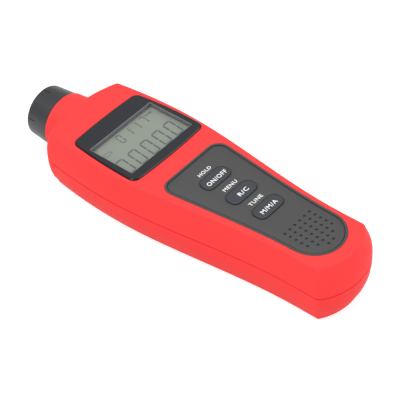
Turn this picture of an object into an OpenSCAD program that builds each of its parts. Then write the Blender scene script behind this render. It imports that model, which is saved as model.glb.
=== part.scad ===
// Handheld laser tachometer, lying on its back with the display up.
// Millimetres. +Y points to the laser nose, +X to the reader's right, +Z up.
// The origin is the middle of the base, below the middle of the overall length.

/* [Casing] */
// Overall length from the nose tip to the tail
overall_l = 184; // [176:1:192]
// Width of the head at the parting line
head_w = 55.7; // [55:0.1:58]
// Width of the grip at the parting line
grip_w = 37.9; // [37:0.1:39]
// Height of the top face above the base
body_h = 32.6; // [32:0.1:34]
// Height of the parting line above the base
split_z = 17.2; // [16.6:0.1:18]
// Wall thickness of the two shells
wall_t = 2; // [1.8:0.1:2.2]
// How far the side walls lean in between the parting line and the top
side_lean = 2.05; // [1.8:0.05:2.2]
// How far the tail face leans in between the parting line and the top
tail_lean = 3.05; // [2.4:0.05:3.4]
// How far the front face leans in between the parting line and the top
front_lean = 2.05; // [1.6:0.05:2.4]
// How far the head's sides lean in between the parting line and the base
head_base_lean = 3.6; // [3.2:0.1:3.8]
// How far the grip's sides lean in between the parting line and the base
grip_base_lean = 2.65; // [2.4:0.05:3]
// How far the front face leans in between the parting line and the base
front_base_lean = 2.85; // [2.4:0.05:3.4]
// How far the tail face leans in between the parting line and the base
tail_base_lean = 3.95; // [3.4:0.05:4.2]
// How late the walls lean in on their way up: 1 is straight, more is fuller
wall_bulge = 2.5; // [1.5:0.5:4]
// Rounding of the top edge along the sides
top_round = 1.8; // [1.5:0.1:1.9]
// Rounding of the top edge at the front and the tail
end_round = 3; // [2.4:0.1:3.4]
// Rounding of the base edge
base_round = 2.4; // [2.2:0.1:2.8]
// Distance from the front face back to the widest point of the head
head_back = 44.75; // [42:0.05:47]
// Length of the straight grip end
grip_l = 20.65; // [18:0.05:24]
// Plan radius of the front face
front_r = 63; // [56:1:70]
// Plan radius of the head's sides
side_r = 260; // [220:5:320]
// Plan radius of the tail face
tail_r = 29; // [27:1:33]
// Plan radius of the front corners
front_corner_r = 4.3; // [4:0.1:6]
// Plan radius of the tail corners
tail_corner_r = 4.2; // [3.4:0.1:5]
// Bevel along both edges of the parting line
seam_bevel = 0.25; // [0.15:0.05:0.4]

/* [Nose] */
// Height of the optical axis
nose_z = 17.2; // [17:0.1:17.6]
// Length of the sensor cap in front of the neck
cap_l = 13; // [12:0.5:14]
// Length of the neck in front of the casing's front face
neck_l = 6.6; // [6:0.1:7.4]
// Length of the neck's root inside the casing
neck_root_l = 6; // [5:0.5:7]
// Diameter of the sensor cap at its tip
cap_tip_d = 25.2; // [25:0.1:26]
// Diameter of the sensor cap where it meets the neck
cap_root_d = 27.4; // [27:0.1:27.6]
// Diameter of the neck at the cap
neck_tip_d = 28.3; // [28:0.1:28.6]
// Diameter of the neck at the casing
neck_root_d = 29.5; // [29:0.1:30]
// Rounding of the neck's front edge
neck_round = 0.8; // [0.5:0.1:1]
// Rounding of the cap's front edge
cap_round = 0.5; // [0.3:0.1:0.8]
// Number of notches around the cap's front edge
notch_count = 10; // [6:1:12]
// Length of a notch
notch_l = 5; // [3:0.5:6]
// Width of a notch
notch_w = 0.4; // [0.3:0.1:0.6]
// Depth of a notch
notch_depth = 0.3; // [0.2:0.1:0.5]
// Diameter of the cap's spigot inside the neck
spigot_d = 23; // [22.6:0.1:23.2]
// Length of the spigot inside the neck
spigot_l = 6; // [5:0.5:7]
// Height of the snap bead on the spigot
bead_h = 0.5; // [0.3:0.1:0.6]
// Diameter of the nose window
nose_window_d = 21; // [20.6:0.1:21.2]
// Thickness of the nose window
nose_window_t = 2; // [1.5:0.1:2.5]
// Depth of the nose window below the cap's rim
nose_window_sink = 2; // [1:0.5:3]
// Width of the shoulder that seats the nose window
window_shoulder = 1; // [0.8:0.1:1.2]
// Thickness of the optics holder's flange
holder_flange_t = 3; // [2:0.5:3.5]
// Distance of the two optical bores from the nose axis
optic_offset = 4.4; // [4.2:0.1:4.6]
// Diameter of the laser module
laser_d = 6; // [5:0.5:6.5]
// Length of the laser module
laser_l = 12; // [10:0.5:12.5]
// Diameter of the receiver lens
lens_d = 7; // [6:0.5:7.5]
// Edge thickness of the receiver lens
lens_edge_t = 1.2; // [1:0.1:1.5]
// Height of the receiver lens's dome
lens_dome = 1.2; // [0.8:0.1:1.6]
// Diameter of the photodiode
diode_d = 5; // [4:0.5:6]
// Length of the photodiode's straight part
diode_l = 4; // [3:0.5:5]
// Lip behind the laser module and the receiver lens
optic_lip = 0.5; // [0.4:0.1:0.6]
// Depth of the laser module's aperture
aperture_depth = 2; // [1:0.5:3]
// Wall of the laser module around its aperture
aperture_wall = 1; // [0.8:0.1:1.4]
// Distance of the optics holder behind the nose window
holder_gap = 2; // [1.5:0.1:2.5]
// Thickness of the sensor board
sensor_board_t = 1.4; // [1:0.1:1.6]

/* [Display] */
// Distance from the front face back to the bezel
bezel_back = 20; // [19.6:0.1:20.6]
// Length of the bezel along the instrument
bezel_l = 41.4; // [41:0.1:41.8]
// Inset of the bezel from the widest part of the casing
bezel_side = 4.4; // [4.3:0.1:4.7]
// Distance of the bezel's widest point from its key end
bezel_wide_at = 6.5; // [5.5:0.5:8]
// Plan radius of the bezel's sides
bezel_side_r = 250; // [220:5:300]
// Plan radius of the bezel's nose and key ends
bezel_end_r = 300; // [250:10:400]
// Radius of the bezel's corners
bezel_corner_r = 3.6; // [3:0.1:4.2]
// Height of the bezel above the top face
bezel_proud = 0.8; // [0.7:0.1:0.9]
// Depth of the bezel's recess in the top face
bezel_recess = 0.8; // [0.6:0.1:0.9]
// Bevel around the bezel's top
bezel_bevel = 0.25; // [0.2:0.05:0.4]
// Inset of the viewing opening from the bezel's widest sides
view_side = 3.4; // [3.3:0.1:3.7]
// Length of the viewing opening
view_l = 25.4; // [25:0.1:25.6]
// Distance from the bezel's key end to the viewing opening
view_margin = 5.4; // [5.2:0.1:5.8]
// Overlap of the clear window behind the bezel
window_lap = 1.4; // [1.2:0.1:1.5]
// Thickness of the clear window
window_t = 1.2; // [1:0.1:1.3]
// Overlap of the display glass behind the viewing opening across the width
glass_lap_x = 0.6; // [0.4:0.1:0.8]
// Overlap of the display glass behind the viewing opening along the length
glass_lap_y = 2.3; // [2:0.1:2.5]
// Thickness of the display glass
glass_t = 2.4; // [2:0.1:2.6]
// Height of the contact strips between the display glass and the board
strip_h = 2; // [1.8:0.1:2.2]
// Width of a contact strip
strip_w = 2; // [1.6:0.1:2.2]
// Side wall of the display holder
holder_wall = 0.8; // [0.6:0.1:0.8]
// Wall of the collar between the display and the bezel
collar_wall = 1.3; // [1.2:0.1:1.4]

/* [Keypad] */
// Distance from the bezel back to the keypad panel
panel_back = 9.75; // [9.2:0.05:10.4]
// Distance of the panel's end from the tail
panel_tail = 9.2; // [8.8:0.1:10]
// Inset of the panel's sides from the parting line at the grip
panel_grip_inset = 5.05; // [4.8:0.05:5.4]
// Inset of the panel's sides from the parting line at the head
panel_head_inset = 6.35; // [6:0.05:6.6]
// Radius of the panel's corners at the display
panel_corner_r = 6; // [5.4:0.1:6.6]
// Depth of the panel's pocket in the top face
panel_sink = 0.9; // [0.8:0.1:1]
// Height of the panel's rim above the top face
panel_proud = 0.3; // [0.2:0.1:0.5]
// Width of the panel's rim
panel_rim_w = 1.1; // [0.9:0.1:1.4]
// Depth of the panel's field below its rim
panel_field_drop = 0.45; // [0.3:0.05:0.5]
// Width of the groove between the panel's rim and its field
panel_groove_w = 0.45; // [0.3:0.05:0.6]
// Depth of the groove below the panel's field
panel_groove_depth = 0.4; // [0.2:0.05:0.45]
// Number of keys
key_count = 3; // [3:1:3]
// Distance from the panel's display end to the first key, as a share of the panel's length
key_first_share = 0.1867; // [0.182:0.0001:0.192]
// Distance from one key to the next, as a share of the panel's length
key_pitch_share = 0.1752; // [0.17:0.0002:0.178]
// Length of a key across the instrument
key_l = 15.5; // [14.8:0.1:16]
// Width of a key along the instrument
key_w = 7.3; // [6.9:0.1:7.6]
// Radius of a key's corners
key_corner_r = 2.9; // [2.5:0.1:3.2]
// Gap around a key in its hole
key_gap = 0.2; // [0.15:0.05:0.3]
// Height of a key above the panel's field
key_proud = 0.5; // [0.4:0.05:0.7]
// Rounding of a key's top edge
key_round = 0.35; // [0.2:0.05:0.5]
// Travel of a key
key_travel = 0.8; // [0.5:0.1:0.9]
// Thickness of a key's flange
key_flange_t = 0.8; // [0.6:0.1:1]
// How far a key's flange stands out around the key
key_flange_w = 1; // [0.8:0.1:1.2]
// Width of the shallow recess around a key
key_moat_w = 0.7; // [0.5:0.1:0.9]
// Depth of the shallow recess around a key
key_moat_depth = 0.35; // [0.2:0.05:0.4]
// Height of a key switch
switch_h = 3.1; // [2.8:0.1:3.4]
// Side length of a key switch
switch_w = 6; // [5.5:0.1:6.5]
// Diameter of a switch plunger
plunger_d = 3.5; // [3:0.1:4]
// Height of a plunger above its switch
plunger_stand = 1.5; // [1.4:0.1:1.8]
// Sound holes in each row, from the keys to the tail
hole_rows = [6, 6, 6, 6, 6, 4, 2];
// Distance between sound holes across the instrument
hole_pitch_x = 3.33; // [3.2:0.01:3.4]
// Distance between rows of sound holes
hole_pitch_y = 2.98; // [2.8:0.01:3.05]
// Diameter of a sound hole
hole_d = 1.3; // [1:0.1:1.5]
// How much wider the holes in the casing are on each side than those in the panel
hole_relief = 0.3; // [0.2:0.05:0.4]
// Distance of the last row of sound holes from the panel's end
hole_end = 5.4; // [5.2:0.1:6]

/* [Boards] */
// Thickness of the main board
board_t = 1.2; // [1:0.1:1.6]
// Gap between the main board and the shell's walls
board_gap = 0.8; // [0.6:0.1:1.2]
// Distance from the front face back to the main board
board_back = 18.2; // [17.6:0.1:18.6]
// Distance of the main board from the tail
board_tail = 19.6; // [19.4:0.1:22]
// Diameter of the buzzer
buzzer_d = 12; // [10:0.5:12.5]
// Height of the buzzer
buzzer_h = 5; // [4:0.1:5.2]
// Diameter of the buzzer's outlet
outlet_d = 2.4; // [2:0.1:4]
// Depth of the buzzer's outlet
outlet_depth = 1; // [0.5:0.1:1.5]
// Side length of the controller chip
chip_w = 14; // [10:0.5:16]
// Thickness of the controller chip
chip_t = 1.6; // [1:0.1:2]

/* [Batteries] */
// Diameter of a battery
cell_d = 10.5; // [10:0.1:10.5]
// Length of a battery with its terminal
cell_l = 44.5; // [43.5:0.1:44.5]
// Diameter of a battery's terminal
terminal_d = 3.8; // [3.2:0.1:4]
// Height of a battery's terminal
terminal_h = 0.8; // [0.8:0.1:1.2]
// Number of batteries side by side
cell_count = 4; // [4:1:4]
// Clearance between neighbouring batteries
cell_gap = 0.2; // [0.1:0.05:0.25]
// Room for a contact spring
spring_l = 4.7; // [4.2:0.1:5.5]
// Wire diameter of a contact spring
spring_wire_d = 0.6; // [0.5:0.1:0.8]
// Diameter of a contact spring at the wall
spring_root_d = 6.4; // [6:0.1:7]
// Diameter of a contact spring at the battery
spring_tip_d = 4; // [3.5:0.1:4.5]
// Turns of a contact spring
spring_turns = 3; // [2:0.5:4]
// Side length of a contact plate
plate_w = 8; // [7:0.1:8.4]
// Thickness of a contact plate
plate_t = 0.4; // [0.3:0.1:0.5]
// Thickness of the battery bay's walls
bay_wall = 1.2; // [1:0.1:1.4]
// Distance from the front face back to the battery bay
bay_back = 21; // [20.4:0.1:21.6]
// How far the bay's sides reach past the cover's opening
hatch_in = 2.2; // [2:0.1:2.6]
// Distance of the cover's opening from the bay's tail end
hatch_back = 2.5; // [2:0.1:3]
// Width of the ledge that seats the battery cover
cover_ledge = 0.9; // [0.8:0.05:1]
// Thickness of the battery cover's outer plate
cover_skin = 0.8; // [0.7:0.05:0.9]
// Depth of the battery cover's face below the base
cover_sink = 0.2; // [0.1:0.05:0.25]
// Gap around the battery cover
cover_gap = 0.3; // [0.2:0.05:0.35]
// Width of a battery cover's tab
tab_w = 4; // [3:0.1:4.2]
// Reach of a tab over the bay's floor
tab_reach = 1.2; // [1:0.1:1.3]
// Thickness of a tab
tab_t = 1.2; // [1:0.1:1.3]
// Length of a tab's root on the battery cover
tab_l = 6; // [5:0.5:8]
// Width of the battery cover's thumb grooves
groove_w = 12; // [10:0.5:16]
// Distance from one thumb groove to the next
groove_pitch = 2.4; // [2:0.1:3]
// Radius of a thumb groove
groove_r = 3; // [2:0.1:4]
// Depth of a thumb groove
groove_depth = 0.3; // [0.2:0.05:0.4]

/* [Fasteners] */
// Diameter of a housing screw
screw_d = 2.5; // [2.2:0.1:2.6]
// Diameter of a housing screw's head
screw_head_d = 4.6; // [4.2:0.1:4.8]
// Height of a housing screw's head
screw_head_h = 1.8; // [1.5:0.1:2]
// Length of a housing screw below its head
screw_l = 15; // [13:0.5:16]
// Depth of a screw head's seat above the base
screw_seat_z = 7.5; // [6.5:0.5:8]
// Outer diameter of a screw post
post_d = 6.4; // [6.2:0.1:6.6]
// Distance of a front post from the head's side
front_post_in = 10.7; // [10:0.1:11.4]
// Distance of a front post from the front face
front_post_back = 13.4; // [13:0.1:14]
// Distance of a tail post from the grip's side
tail_post_in = 8.3; // [8:0.1:8.8]
// Distance of a tail post from the tail
tail_post_back = 16; // [15.4:0.1:16.2]
// Width of a screw head's cross recess
drive_w = 2.6; // [2.2:0.1:3]
// Slot width of a screw head's cross recess
drive_slot = 0.6; // [0.5:0.1:0.8]
// Depth of a screw head's cross recess
drive_depth = 0.9; // [0.6:0.1:1]
// Diameter of a board screw
board_screw_d = 2; // [1.8:0.1:2.2]
// Diameter of a board screw's head
board_screw_head_d = 3.8; // [3.4:0.1:4]
// Height of a board screw's head
board_screw_head_h = 1.4; // [1.2:0.1:1.6]
// Distance of a front stand-off from the head's side
front_standoff_in = 15; // [14:0.1:16]
// Distance of a front stand-off from the front face
front_standoff_back = 21.4; // [21.2:0.1:21.8]
// Distance of a tail stand-off from the grip's side
tail_standoff_in = 9; // [8.6:0.1:9.4]
// Distance of a tail stand-off from the last key
tail_standoff_back = 9.4; // [9:0.1:9.8]
// Length of a board screw below its head
board_screw_l = 5; // [4:0.5:5.5]
// Outer diameter of a board stand-off
standoff_d = 4.4; // [4.2:0.1:4.8]

/* [Hidden] */

$fn = 64;
// Clearance of pieces that slide together by hand
slip = 0.1;
// Clearance of a screw in its thread
thread_slip = 0.02;
// Overlap that joins two shapes of one piece
bond = 0.5;
// Overshoot of a cut
past = 1;
// Smallest plan radius of an inner corner
least_r = 0.5;
// Steps of a rounded edge
edge_steps = 4;
// Steps of the casing's plan along the front, a corner, the head, the flare and the tail
front_n = 6;
corner_n = 5;
side_n = 5;
flare_n = 14;
tail_n = 8;
// Steps of the upper shell's wall
wall_n = 4;
// Chamfer where the upper shell's walls meet its top inside
inner_chamfer = 0.6;

// Places along the length
nose_y = overall_l / 2;
tail_y = -overall_l / 2;
neck_y = nose_y - cap_l;
front_y = neck_y - neck_l;
head_y = front_y - head_back;
flare_y = tail_y + grip_l;
bezel_y1 = front_y - bezel_back;
bezel_y0 = bezel_y1 - bezel_l;
view_y0 = bezel_y0 + view_margin;
view_y = view_y0 + view_l / 2;
panel_y1 = bezel_y0 - panel_back;
panel_y0 = tail_y + panel_tail;
panel_l = panel_y1 - panel_y0;
board_y1 = front_y - board_back;
board_y0 = tail_y + board_tail;
bay_y1 = front_y - bay_back;
bay_y0 = bay_y1 - cell_l - 2 * plate_t - spring_l;
bay_y = (bay_y0 + bay_y1) / 2;
function key_y(i) = panel_y1 - (key_first_share + i * key_pitch_share) * panel_l;

// Widths across the head
bezel_w = head_w - 2 * bezel_side;
view_w = bezel_w - 2 * view_side;

// Heights
inner_top_z = body_h - wall_t;
bezel_seat_z = body_h - bezel_recess;
bezel_top_z = body_h + bezel_proud;
window_top_z = bezel_seat_z + window_t;
panel_seat_z = body_h - panel_sink;
panel_top_z = body_h + panel_proud;
field_z = panel_top_z - panel_field_drop;
key_top_z = field_z + key_proud;
key_flange_top_z = inner_top_z - slip;
key_foot_z = key_flange_top_z - key_flange_t;
switch_top_z = key_foot_z - plunger_stand;
board_top_z = switch_top_z - switch_h;
glass_z = board_top_z + strip_h;
glass_top_z = glass_z + glass_t;
cover_z = cover_sink;
cover_step_z = cover_z + cover_skin;
cover_top_z = wall_t;
cell_z = cover_top_z + bond + cell_d / 2;
bay_roof_z = cell_z + cell_d / 2 + cell_gap;

// Outline helpers: an eased step, an arc of points and the point where two circles meet
function mix(a, b, t) = a + (b - a) * t;
function ease(t) = t * t * (3 - 2 * t);
function arc(c, r, a0, a1, n) = [for (i = [0:n]) c + r * [cos(mix(a0, a1, i / n)), sin(mix(a0, a1, i / n))]];
function angle_to(c, p) = atan2(p[1] - c[1], p[0] - c[0]);
function meet(c1, r1, c2, r2) =
    let (d = norm(c2 - c1))
    let (u = (c2 - c1) / d)
    let (a = (r1 * r1 - r2 * r2 + d * d) / (2 * d))
    c1 + a * u + sqrt(r1 * r1 - a * a) * [-u[1], u[0]];
function rest(list) = [for (i = [1:len(list) - 1]) list[i]];
function mirrored(half) = concat(half, [for (i = [len(half) - 2:-1:1]) [-half[i][0], half[i][1]]]);

// Half width at a place between the grip and the widest point of the head
function flare(y, head_half, grip_half) =
    let (t = min(1, max(0, (y - flare_y) / (head_y - flare_y))))
    mix(grip_half, head_half, ease(t));

// Right half of the casing's plan, from the front to the tail, moved in by
// h at the head's sides, g at the grip's sides, f at the front and t at the tail
function casing_half(h, g, f, t) =
    let (hw = head_w / 2 - h)
    let (gw = grip_w / 2 - g)
    let (cr = max(front_corner_r - h, least_r))
    let (tr = max(tail_corner_r - g, least_r))
    let (end_r = tail_r - g)
    let (front_c = [0, front_y - front_r])
    let (side_c = [hw - side_r, head_y])
    let (tail_c = [0, tail_y + t + end_r])
    let (corner = meet(side_c, side_r - cr, front_c, front_r - f - cr))
    let (front_a = angle_to(front_c, corner))
    let (side_a = angle_to(side_c, corner))
    let (heel = [gw - tr, tail_c[1] - sqrt(pow(end_r - tr, 2) - pow(gw - tr, 2))])
    let (tail_a = angle_to(tail_c, heel))
    concat(
        arc(front_c, front_r - f, 90, front_a, front_n),
        rest(arc(corner, cr, front_a, side_a, corner_n)),
        rest(arc(side_c, side_r, side_a, 0, side_n)),
        [for (i = [1:flare_n]) let (y = mix(head_y, flare_y, i / flare_n)) [flare(y, hw, gw), y]],
        arc(heel, tr, 0, tail_a, corner_n),
        rest(arc(tail_c, end_r, tail_a, -90, tail_n))
    );
function casing_plan(h, g, f, t) = mirrored(casing_half(h, g, f, t));
function level(plan, z) = [for (p = plan) [p[0], p[1], z]];
function casing_ring(z, h, g, f, t) = level(casing_plan(h, g, f, t), z);

// Share of the end rounding at each point of the plan: all of it across the
// front and the tail, none along the sides, and eased over the corners
end_share = concat(
    [for (i = [0:front_n]) 1],
    [for (i = [1:corner_n]) 1 - 0.5 * i / corner_n],
    [for (i = [1:side_n]) 0.5 * (1 - i / side_n)],
    [for (i = [1:flare_n]) 0],
    [for (i = [0:corner_n]) i / corner_n],
    [for (i = [1:tail_n]) 1]
);
end_shares = concat(end_share, [for (i = [len(end_share) - 2:-1:1]) end_share[i]]);

// One ring of the upper shell's wall, at the share u of its height
function wall_ring(u) =
    let (lean = pow(u, wall_bulge))
    let (plan = casing_plan(side_lean * lean, side_lean * lean, front_lean * lean, tail_lean * lean))
    [
        for (i = [0:len(plan) - 1])
            let (top = body_h - mix(top_round, end_round, end_shares[i]))
            [plan[i][0], plan[i][1], mix(split_z + seam_bevel, top, u)]
    ];

// One ring of the rounded top edge, at angle a from the wall towards the top face
function top_ring(a) =
    let (g = side_lean + top_round * (1 - cos(a)))
    let (e = end_round * (1 - cos(a)))
    let (plan = casing_plan(g, g, front_lean + e, tail_lean + e))
    [
        for (i = [0:len(plan) - 1])
            [plan[i][0], plan[i][1], body_h - mix(top_round, end_round, end_shares[i]) * (1 - sin(a))]
    ];

// Closed skin over a stack of rings that have equally many points
module loft(rings) {
    n = len(rings[0]);
    last = (len(rings) - 1) * n;
    skin = [
        for (i = [0:len(rings) - 2], j = [0:n - 1])
            let (a = i * n + j, b = i * n + (j + 1) % n)
            each [[a, b, b + n], [a, b + n, a + n]]
    ];
    lids = [[for (j = [n - 1:-1:0]) j], [for (j = [0:n - 1]) last + j]];
    polyhedron([for (r = rings) each r], concat(skin, lids));
}

// Rings of the upper shell: down the inside, across the rim and up the outside
function even_ring(z, d) = casing_ring(z, d, d, d, d);
inner_side = side_lean + wall_t;
inner_tail = tail_lean + wall_t;
inner_front = front_lean + wall_t;
function upper_rings() = concat(
    [
        casing_ring(inner_top_z, inner_side + inner_chamfer, inner_side + inner_chamfer,
            inner_front + end_round, inner_tail + end_round),
        casing_ring(inner_top_z - inner_chamfer, inner_side, inner_side,
            inner_front + end_round - inner_chamfer, inner_tail + end_round - inner_chamfer),
        casing_ring(inner_top_z - end_round, inner_side, inner_side, inner_front, inner_tail),
        even_ring(split_z, wall_t),
        even_ring(split_z, seam_bevel),
        even_ring(split_z + seam_bevel, 0)
    ],
    [for (i = [1:wall_n - 1]) wall_ring(i / wall_n)],
    [for (i = [0:edge_steps]) top_ring(90 * i / edge_steps)]
);

// Rings of the lower shell: up the outside, across the rim and down the inside
function base_ring(z, d) =
    casing_ring(z, head_base_lean + d, grip_base_lean + d, front_base_lean + d, tail_base_lean + d);
function lower_rings() = concat(
    [
        for (i = [edge_steps:-1:0])
            let (a = 90 * i / edge_steps)
            let (g = base_round * (1 - cos(a)))
            base_ring(base_round * (1 - sin(a)), g)
    ],
    [
        for (i = [wall_n - 1:-1:1])
            let (u = i / wall_n)
            let (b = pow(u, wall_bulge))
            casing_ring(mix(split_z - seam_bevel, base_round, u), head_base_lean * b, grip_base_lean * b,
                front_base_lean * b, tail_base_lean * b)
    ],
    [
        even_ring(split_z - seam_bevel, 0),
        even_ring(split_z, seam_bevel),
        even_ring(split_z, wall_t),
        base_ring(base_round + wall_t, wall_t),
        base_ring(wall_t, base_round)
    ]
);

// Turns a shape that stands along +Z so that it lies along the nose axis
module along_nose() {
    translate([0, 0, nose_z])
        rotate([-90, 0, 0])
            children();
}

// Upper or lower half of everything, cut at the parting line
module above_split() {
    intersection() {
        children();
        translate([-head_w, tail_y, split_z])
            cube([2 * head_w, overall_l, body_h]);
    }
}
module below_split() {
    intersection() {
        children();
        translate([-head_w, tail_y, split_z - body_h])
            cube([2 * head_w, overall_l, body_h]);
    }
}

neck_y0 = front_y - neck_root_l;
bore_d = spigot_d + 2 * slip;
bead_y = neck_y - spigot_l / 2;
module neck() {
    along_nose()
        rotate_extrude()
            polygon(concat(
                [[0, neck_y0], [neck_root_d / 2, neck_y0], [neck_root_d / 2, front_y - front_lean]],
                arc([neck_tip_d / 2 - neck_round, neck_y - neck_round], neck_round, 0, 90, edge_steps),
                [[0, neck_y]]
            ));
}
module neck_bore() {
    along_nose() {
        translate([0, 0, neck_y0 - past])
            cylinder(d = bore_d, h = neck_y - neck_y0 + 2 * past);
        translate([0, 0, bead_y - bead_h - slip])
            cylinder(d = bore_d + 2 * bead_h, h = 2 * (bead_h + slip));
    }
}

// Places of the housing screws and of the board screws
front_post = [head_w / 2 - front_post_in, front_y - front_post_back];
tail_post = [grip_w / 2 - tail_post_in, tail_y + tail_post_back];
front_standoff = [head_w / 2 - front_standoff_in, front_y - front_standoff_back];
tail_standoff = [grip_w / 2 - tail_standoff_in, key_y(key_count - 1) - tail_standoff_back];
post_places = [for (p = [front_post, tail_post], side = [-1, 1]) [side * p[0], p[1]]];
standoff_places = [for (p = [front_standoff, tail_standoff], side = [-1, 1]) [side * p[0], p[1]]];
pilot_top_z = screw_seat_z + screw_l + past;

// Outline of the bezel, made wider by g all round
function bezel_plan(g) =
    let (hw = bezel_w / 2 + g)
    let (y1 = bezel_y1 + g, y0 = bezel_y0 - g)
    let (r = bezel_corner_r + g)
    let (side_c = [hw - bezel_side_r, bezel_y0 + bezel_wide_at])
    let (nose_c = [0, y1 - bezel_end_r], key_c = [0, y0 + bezel_end_r])
    let (c1 = meet(side_c, bezel_side_r - r, nose_c, bezel_end_r - r))
    let (c0 = meet(key_c, bezel_end_r - r, side_c, bezel_side_r - r))
    mirrored(concat(
        arc(nose_c, bezel_end_r, 90, angle_to(nose_c, c1), 2),
        rest(arc(c1, r, angle_to(nose_c, c1), angle_to(side_c, c1), 6)),
        rest(arc(side_c, bezel_side_r, angle_to(side_c, c1), angle_to(side_c, c0), 8)),
        rest(arc(c0, r, angle_to(side_c, c0), angle_to(key_c, c0), 6)),
        rest(arc(key_c, bezel_end_r, angle_to(key_c, c0), -90, 2))
    ));

// Outline of the keypad panel, made wider by g all round
function panel_half_w(y) = flare(y, head_w / 2 - panel_head_inset, grip_w / 2 - panel_grip_inset);
function panel_plan(g) =
    let (end_r = panel_half_w(flare_y) + g)
    let (end_c = [0, panel_y0 - g + end_r])
    let (r = panel_corner_r + g)
    let (corner_y = panel_y1 + g - r)
    let (tilt = atan(panel_half_w(corner_y + 0.5) - panel_half_w(corner_y - 0.5)))
    let (side_y1 = corner_y - r * sin(tilt))
    let (corner = [panel_half_w(side_y1) + g - r * cos(tilt), corner_y])
    let (side_y0 = max(end_c[1], flare_y))
    mirrored(concat(
        [[0, panel_y1 + g]],
        arc(corner, r, 90, -tilt, 6),
        [for (i = [1:11]) let (y = mix(side_y1, side_y0, i / 11)) [panel_half_w(y) + g, y]],
        arc(end_c, end_r, -1, -90, 12)
    ));

// Rounded bar that lies across the instrument, centred on the origin
module pill(l, w, r, h) {
    linear_extrude(height = h)
        union() {
            square([l - 2 * r, w], center = true);
            square([l, w - 2 * r], center = true);
            for (x = [-1, 1], y = [-1, 1])
                translate([x * (l / 2 - r), y * (w / 2 - r)])
                    circle(r = r);
        }
}
module at_keys() {
    for (i = [0:key_count - 1])
        translate([0, key_y(i), 0])
            children();
}
module key_holes() {
    at_keys()
        translate([0, 0, inner_top_z - past])
            pill(key_l + 2 * key_gap, key_w + 2 * key_gap, key_corner_r + key_gap, bezel_top_z);
}

// Box that is centred across the instrument
module slab(w, y0, y1, z0, z1) {
    translate([-w / 2, y0, z0])
        cube([w, y1 - y0, z1 - z0]);
}

// Sound holes of one diameter, through everything above the casing's inside
module sound_holes(d) {
    for (row = [0:len(hole_rows) - 1], i = [0:hole_rows[row] - 1])
        translate([
            (i - (hole_rows[row] - 1) / 2) * hole_pitch_x,
            panel_y0 + hole_end + (len(hole_rows) - 1 - row) * hole_pitch_y,
            inner_top_z - past
        ])
            cylinder(d = d, h = body_h, $fn = 24);
}

housing_red = [0.98, 0.25, 0.25];
collar_w = view_w + 2 * collar_wall;
collar_l = view_l + 2 * collar_wall;

module front_housing() {
    color(housing_red)
        difference() {
            union() {
                loft(upper_rings());
                above_split()
                    neck();
                for (p = post_places)
                    translate([p[0], p[1], split_z])
                        cylinder(d = post_d, h = inner_top_z - split_z + bond);
                for (p = standoff_places)
                    translate([p[0], p[1], board_top_z])
                        cylinder(d = standoff_d, h = inner_top_z - board_top_z + bond);
            }
            neck_bore();
            translate([0, 0, bezel_seat_z])
                linear_extrude(height = bezel_top_z)
                    polygon(bezel_plan(slip));
            slab(collar_w + 2 * slip, view_y - collar_l / 2 - slip, view_y + collar_l / 2 + slip,
                inner_top_z - past, bezel_top_z);
            translate([0, 0, panel_seat_z])
                linear_extrude(height = bezel_top_z)
                    polygon(panel_plan(slip));
            key_holes();
            sound_holes(hole_d + 2 * hole_relief);
            for (p = post_places)
                translate([p[0], p[1], split_z - past])
                    cylinder(d = screw_d + 2 * thread_slip, h = pilot_top_z - split_z + past);
            for (p = standoff_places)
                translate([p[0], p[1], board_top_z - past])
                    cylinder(d = board_screw_d + 2 * thread_slip, h = board_screw_l - board_t + 2 * past);
        }
}

// Battery bay: plan sizes of its space, of the cover's opening and of the cover's recess
bay_w = cell_count * (cell_d + cell_gap) + cell_gap;
hatch_w = bay_w - 2 * hatch_in;
hatch_y0 = bay_y0 + hatch_back;
hatch_y1 = bay_y1 - tab_reach - cover_gap;
recess_w = hatch_w + 2 * cover_ledge;
recess_y0 = hatch_y0 - cover_ledge;
recess_y1 = hatch_y1 + cover_ledge;
module rear_housing() {
    color(housing_red)
        difference() {
            union() {
                loft(lower_rings());
                below_split()
                    neck();
                for (p = post_places)
                    translate([p[0], p[1], wall_t - bond])
                        cylinder(d = post_d, h = split_z - wall_t + bond);
                slab(bay_w + 2 * bay_wall, bay_y0 - bay_wall, bay_y1 + bay_wall, wall_t - bond, bay_roof_z + bay_wall);
            }
            neck_bore();
            slab(bay_w, bay_y0, bay_y1, wall_t, bay_roof_z);
            slab(hatch_w, hatch_y0, hatch_y1, -past, wall_t + past);
            slab(recess_w, recess_y0, recess_y1, -past, cover_step_z);
            for (p = post_places) {
                translate([p[0], p[1], -past])
                    cylinder(d = screw_head_d + 4 * slip, h = screw_seat_z + past);
                translate([p[0], p[1], screw_seat_z - past])
                    cylinder(d = screw_d + 2 * slip, h = split_z);
            }
        }
}

cover_w = recess_w - 2 * cover_gap;
cover_y0 = recess_y0 + cover_gap;
cover_y1 = recess_y1 - cover_gap;
plug_w = hatch_w - 2 * cover_gap;
plug_y0 = hatch_y0 + cover_gap;
plug_y1 = hatch_y1 - cover_gap;
tab_x = bay_w / 4;
tab_z = cover_top_z + cover_gap;
module battery_cover() {
    color(housing_red)
        difference() {
            union() {
                slab(cover_w, cover_y0, cover_y1, cover_z, cover_step_z);
                slab(plug_w, plug_y0, plug_y1, cover_z, cover_top_z);
                for (side = [-1, 1])
                    translate([side * tab_x, 0, 0]) {
                        slab(tab_w, plug_y1 - tab_l, hatch_y1 + tab_reach, tab_z, tab_z + tab_t);
                        slab(tab_w, plug_y1 - tab_l, plug_y1, cover_top_z - bond, tab_z + tab_t);
                    }
            }
            for (i = [0:2])
                translate([-groove_w / 2, cover_y0 + (2 + i) * groove_pitch, cover_z - groove_r + groove_depth])
                    rotate([0, 90, 0])
                        cylinder(r = groove_r, h = groove_w);
        }
}

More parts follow.
